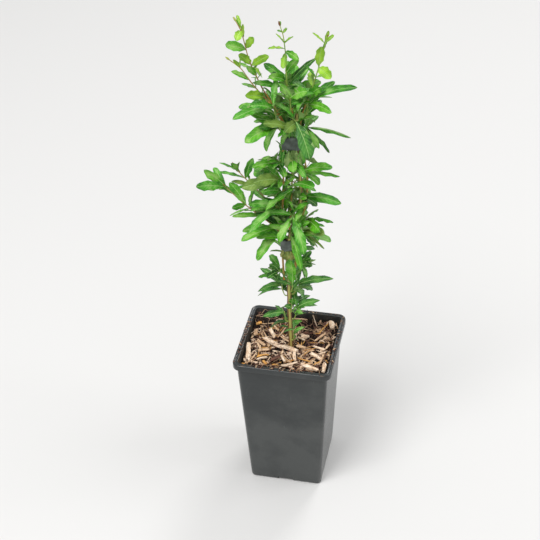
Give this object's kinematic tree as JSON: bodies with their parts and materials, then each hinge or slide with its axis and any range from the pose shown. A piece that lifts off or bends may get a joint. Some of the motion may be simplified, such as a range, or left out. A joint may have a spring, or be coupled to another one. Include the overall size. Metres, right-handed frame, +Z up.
{
  "type": "potted pomegranate shrub",
  "caption": "Young pomegranate shrub with slim tied stems and narrow glossy leaves, in a tall tapered square nursery pot mulched with wood chips.",
  "frame": {"origin": "middle of the pot's flat underside", "axes": "+Z up along the stem, the pot's sides face along X and Y, and the plant's fan of shoots is widest near X"},
  "size_m": [0.1775, 0.125, 0.6533],
  "materials": {
    "pot_plastic": "dark grey-green moulded plastic, satin, scuffed on its rim",
    "potting_mix": "damp black-brown potting mix",
    "wood_chips": "split wood chips, tan to dark brown, dry and matt",
    "stem_bark": "smooth young bark, olive to orange-brown, matt",
    "foliage": "glossy green leaves on green and brown twigs",
    "tie_tape": "soft grey tie, matt"
  },
  "bodies": {
    "root": {"arm_left_high": "stem_bark", "arm_left_low": "stem_bark", "bough_back": "stem_bark", "bough_centre": "stem_bark", "bough_left": "stem_bark", "bough_right": "stem_bark", "main_stem": "stem_bark", "pot": "pot_plastic", "potting_mix": "potting_mix", "shoot_left_high": "foliage", "shoot_left_low": "foliage", "shoot_top_centre": "foliage", "shoot_top_left": "foliage", "shoot_top_left_low": "foliage", "shoot_top_right": "foliage", "spray_belly_back": "foliage", "spray_belly_far": "foliage", "spray_belly_front": "foliage", "spray_belly_left": "foliage", "spray_belly_right": "foliage", "spray_chest_front": "foliage", "spray_chest_left": "foliage", "spray_chest_low": "foliage", "spray_chest_right": "foliage", "spray_crown_back": "foliage", "spray_crown_front": "foliage", "spray_crown_high": "foliage", "spray_crown_left": "foliage", "spray_crown_right": "foliage", "spray_foot_back": "foliage", "spray_foot_front": "foliage", "spray_knee_back": "foliage", "spray_knee_front": "foliage", "spray_knee_left": "foliage", "spray_knee_right": "foliage", "spray_low_back": "foliage", "spray_low_front": "foliage", "spray_low_left": "foliage", "spray_low_right": "foliage", "spray_neck_back": "foliage", "spray_neck_left": "foliage", "spray_neck_right": "foliage", "spray_shoulder_back": "foliage", "spray_shoulder_front": "foliage", "spray_shoulder_left": "foliage", "spray_shoulder_right": "foliage", "spray_throat_back": "foliage", "spray_throat_front": "foliage", "spray_throat_left": "foliage", "spray_waist_back": "foliage", "spray_waist_far_right": "foliage", "spray_waist_front": "foliage", "spray_waist_left": "foliage", "spray_waist_right": "foliage", "tie_lower": "tie_tape", "tie_upper": "tie_tape", "wood_chip_mulch": "wood_chips"}
  },
  "joints": []
}
